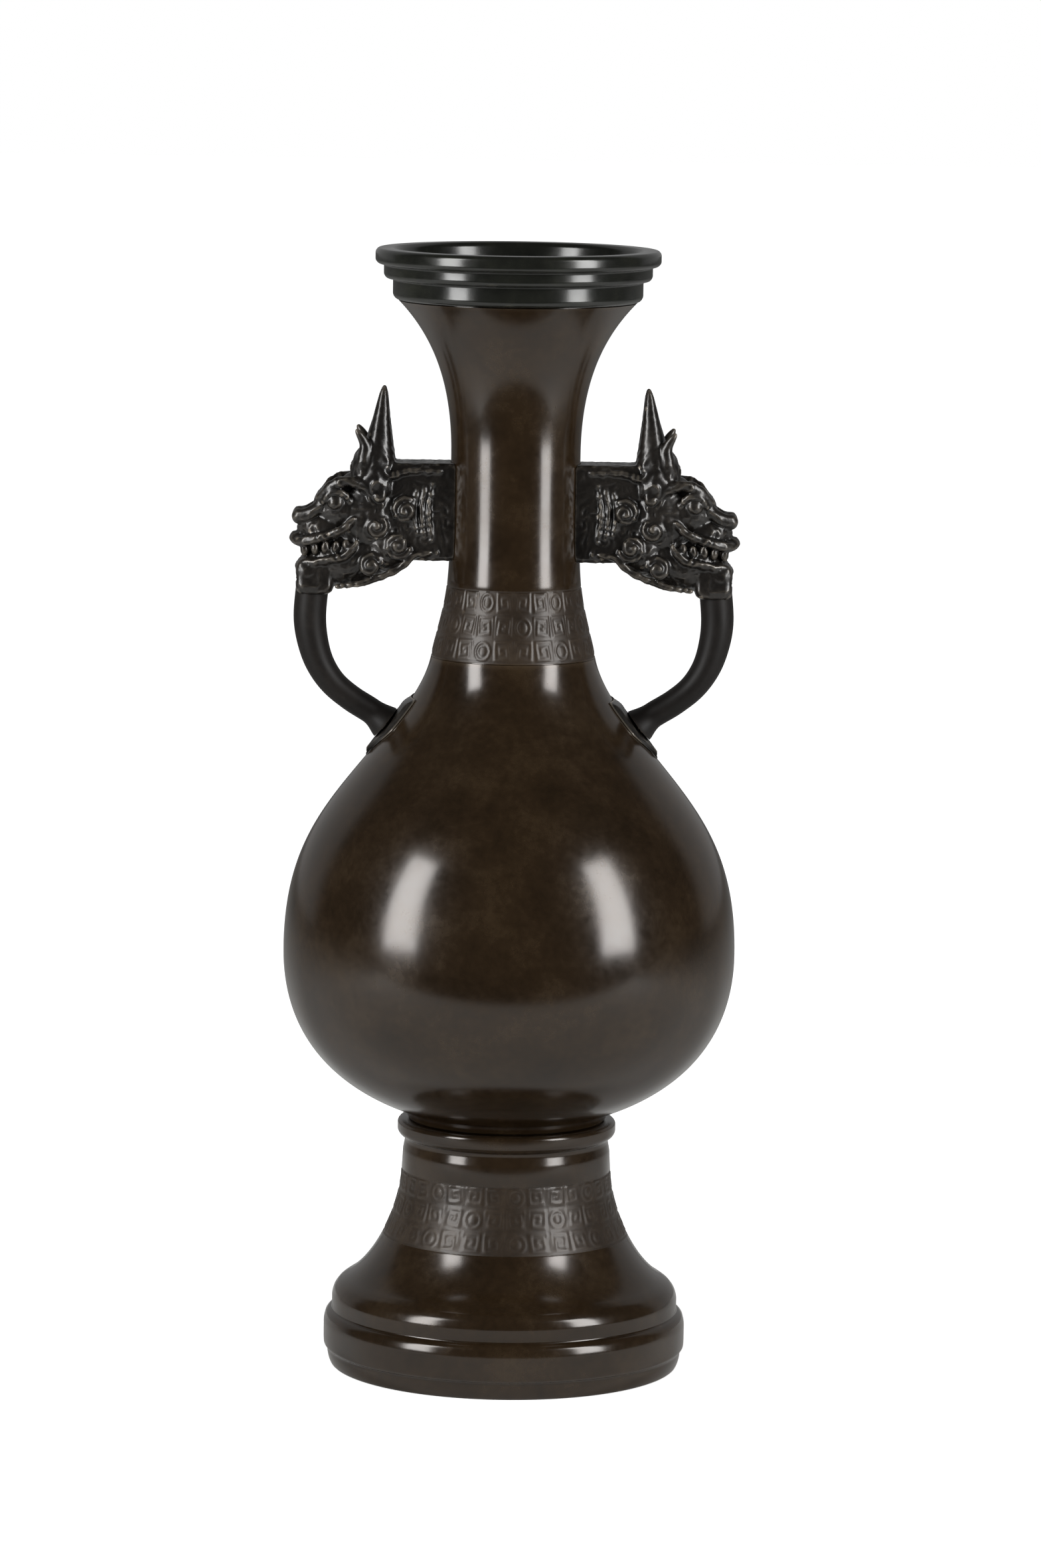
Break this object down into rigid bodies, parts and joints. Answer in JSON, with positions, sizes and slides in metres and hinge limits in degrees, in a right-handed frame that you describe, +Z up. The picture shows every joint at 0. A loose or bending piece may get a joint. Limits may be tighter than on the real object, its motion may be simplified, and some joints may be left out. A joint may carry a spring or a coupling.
{
  "type": "bronze vase",
  "caption": "Tall footed bronze altar vase with a round belly, slender trumpet neck, stepped mouth rim and two beast-head loop handles.",
  "frame": {"origin": "centre of the foot's underside, on the surface the vase stands on", "axes": "+Z up along the vase's axis, +X towards the right handle, -Y towards the viewer"},
  "size_m": [0.1288, 0.1288, 0.32],
  "materials": {
    "brown_bronze": "dark brown wax-polished patina",
    "rim_bronze": "darker grey-green patina",
    "dark_bronze": "near-black patina with worn high spots",
    "rivet_bronze": "plain dull bronze"
  },
  "bodies": {
    "root": {"foot": "brown_bronze", "body": "brown_bronze", "neck": "brown_bronze", "mouth_rim": "rim_bronze", "beast_head_right": "dark_bronze", "beast_head_left": "dark_bronze", "handle_loop_right": "dark_bronze", "handle_loop_left": "dark_bronze", "shoulder_pad_right": "dark_bronze", "shoulder_pad_left": "dark_bronze", "neck_rivet_right_1": "rivet_bronze", "neck_rivet_right_2": "rivet_bronze", "neck_rivet_left_1": "rivet_bronze", "neck_rivet_left_2": "rivet_bronze", "pad_rivet_right": "rivet_bronze", "pad_rivet_left": "rivet_bronze"}
  },
  "joints": []
}
